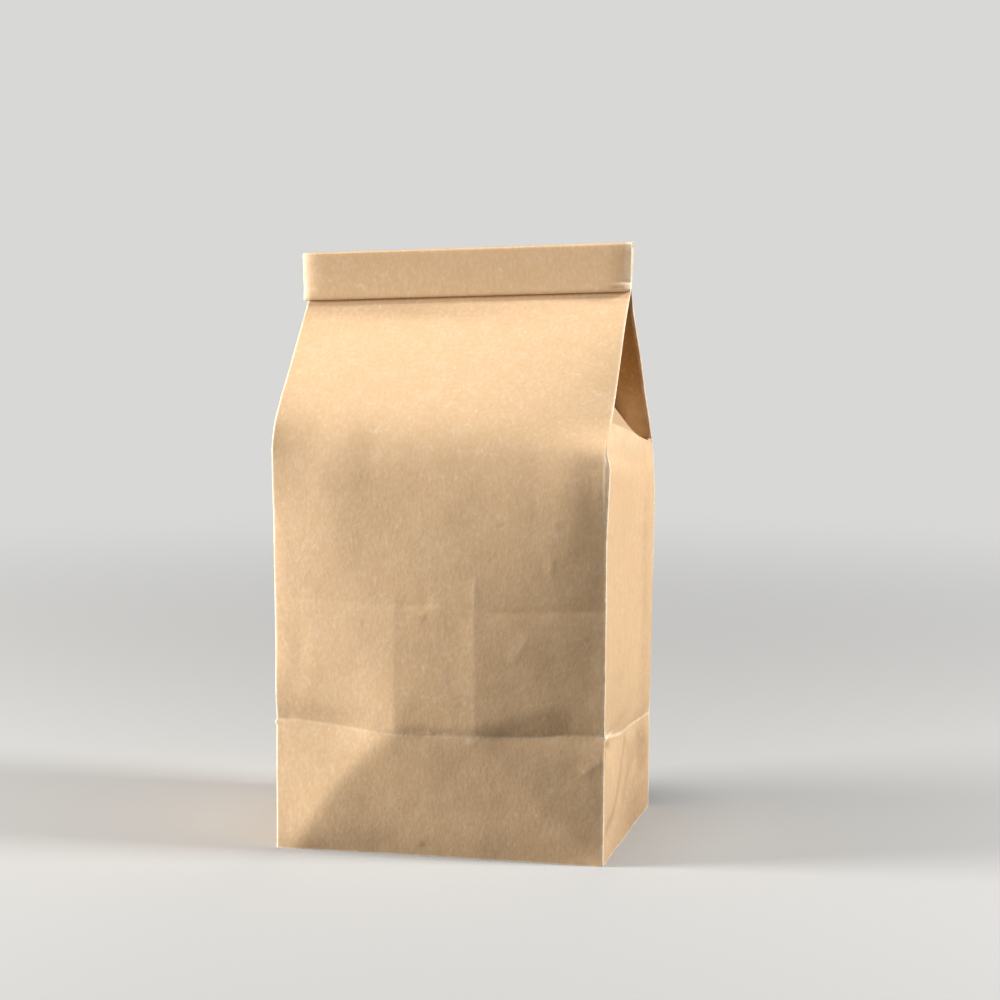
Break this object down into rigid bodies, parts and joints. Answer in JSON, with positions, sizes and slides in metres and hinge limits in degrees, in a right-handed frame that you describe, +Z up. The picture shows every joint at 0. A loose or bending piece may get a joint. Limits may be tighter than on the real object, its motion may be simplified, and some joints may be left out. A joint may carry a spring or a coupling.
{
  "type": "kraft paper tea pouch",
  "caption": "Upright brown kraft paper pouch of loose tea: flat base, folded side gussets, sloped shoulders and a mouth rolled down and pressed flat.",
  "frame": {"origin": "centre of the bounding box on the flat base, where the pouch stands", "axes": "+Z up, -Y out of the front panel that the rolled mouth hangs over, +X to the right when facing the front"},
  "size_m": [0.1236, 0.0958, 0.217],
  "materials": {
    "kraft_paper": "matt, unbleached, with fine fibres"
  },
  "bodies": {
    "root": {"pouch": "kraft_paper"}
  },
  "joints": []
}
